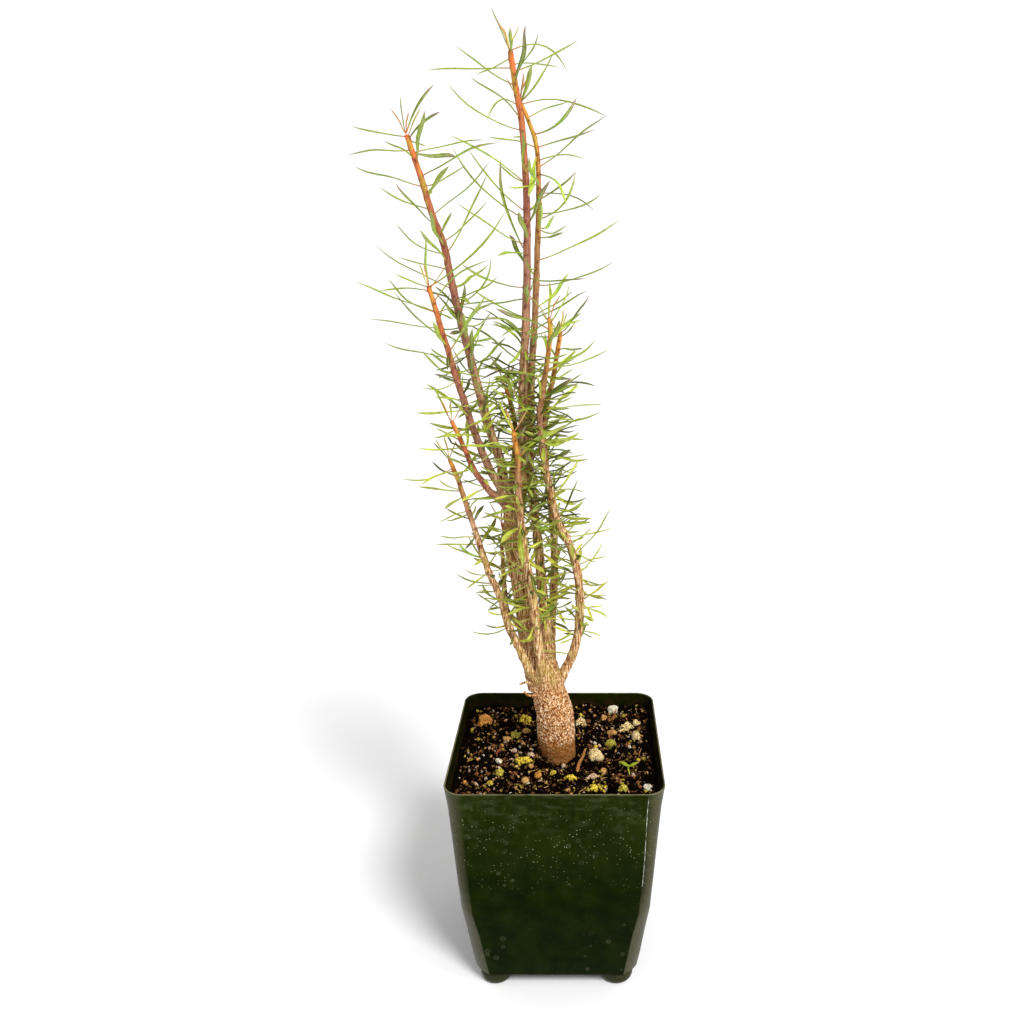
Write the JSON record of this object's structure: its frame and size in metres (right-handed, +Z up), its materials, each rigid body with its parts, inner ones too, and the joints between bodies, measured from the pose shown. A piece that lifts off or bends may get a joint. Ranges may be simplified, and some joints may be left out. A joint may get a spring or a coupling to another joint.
{
  "type": "potted sweet tabaiba",
  "caption": "Young sweet tabaiba succulent with a short corky trunk, slender upright stems and narrow leaves, in a deep square nursery pot of soil.",
  "frame": {"origin": "centre of the pot's flat underside, with the four feet below it", "axes": "+Z up the plant, +X to the right and +Y to the back of the pot as pictured"},
  "size_m": [0.1025, 0.076, 0.3352],
  "materials": {
    "pot": "dark green moulded plastic, semi-gloss, lightly dusty",
    "soil": "damp fine peat with small stones, perlite and bark, matte",
    "bark": "granular corky tan bark, matte",
    "plant": "living stems, orange-red at the tips and tan below, with green leaves, satin",
    "leaf": "soft green seedling leaves, satin"
  },
  "bodies": {
    "root": {"pot": "pot", "soil": "soil", "trunk": "bark", "stem_tall_middle": "plant", "stem_tall_right": "plant", "stem_tall_left": "plant", "stem_left": "plant", "stem_left_short": "plant", "stem_back_short": "plant", "stem_front": "plant", "stem_right": "plant", "stem_back_right": "plant", "stem_low_left": "plant", "stem_inner_left": "plant", "seedling": "leaf"}
  },
  "joints": []
}
